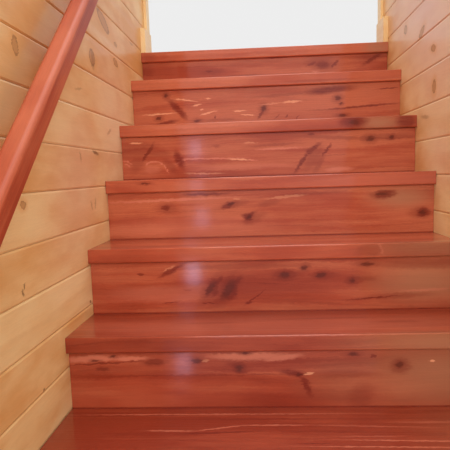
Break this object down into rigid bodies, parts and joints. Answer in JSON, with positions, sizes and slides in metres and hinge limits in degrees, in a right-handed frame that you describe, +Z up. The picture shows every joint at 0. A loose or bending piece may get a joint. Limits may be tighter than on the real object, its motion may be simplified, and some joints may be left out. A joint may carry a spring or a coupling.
{
  "type": "enclosed wooden staircase",
  "caption": "Straight enclosed flight of closed-riser cedar steps between two raked pine-boarded walls, with a wall-mounted handrail on the left.",
  "frame": {"origin": "on the floor, in the middle of the footprint of the flight and its two walls", "axes": "+X across the flight to the right as one climbs, +Y level in the direction of climbing, +Z up"},
  "size_m": [1.255, 2.46, 3.076],
  "materials": {
    "cedar_tread": "clear gloss coat",
    "cedar_riser": "clear gloss coat",
    "cedar_rail": "clear gloss coat",
    "pine_board": "clear satin coat",
    "pine_trim": "clear satin coat",
    "framing": "bare sawn softwood",
    "dark_metal": "dark bronze paint"
  },
  "bodies": {
    "root": {"tread_01": "cedar_tread", "tread_02": "cedar_tread", "tread_03": "cedar_tread", "tread_04": "cedar_tread", "tread_05": "cedar_tread", "tread_06": "cedar_tread", "tread_07": "cedar_tread", "tread_08": "cedar_tread", "tread_09": "cedar_tread", "tread_10": "cedar_tread", "landing_nosing": "cedar_tread", "riser_01": "cedar_riser", "riser_02": "cedar_riser", "riser_03": "cedar_riser", "riser_04": "cedar_riser", "riser_05": "cedar_riser", "riser_06": "cedar_riser", "riser_07": "cedar_riser", "riser_08": "cedar_riser", "riser_09": "cedar_riser", "riser_10": "cedar_riser", "riser_11": "cedar_riser", "handrail": "cedar_rail", "landing_header": "framing", "kicker_plate": "framing", "carriage_left": "framing", "carriage_middle": "framing", "carriage_right": "framing", "left_wall_frame": "framing", "right_wall_frame": "framing", "left_inner_boards": "pine_board", "left_outer_boards": "pine_board", "left_wall_cap": "pine_trim", "left_front_trim": "pine_trim", "left_back_trim": "pine_trim", "left_baseboard": "pine_trim", "right_inner_boards": "pine_board", "right_outer_boards": "pine_board", "right_wall_cap": "pine_trim", "right_front_trim": "pine_trim", "right_back_trim": "pine_trim", "right_baseboard": "pine_trim", "rail_bracket_low": "dark_metal", "rail_bracket_middle": "dark_metal", "rail_bracket_high": "dark_metal"}
  },
  "joints": []
}
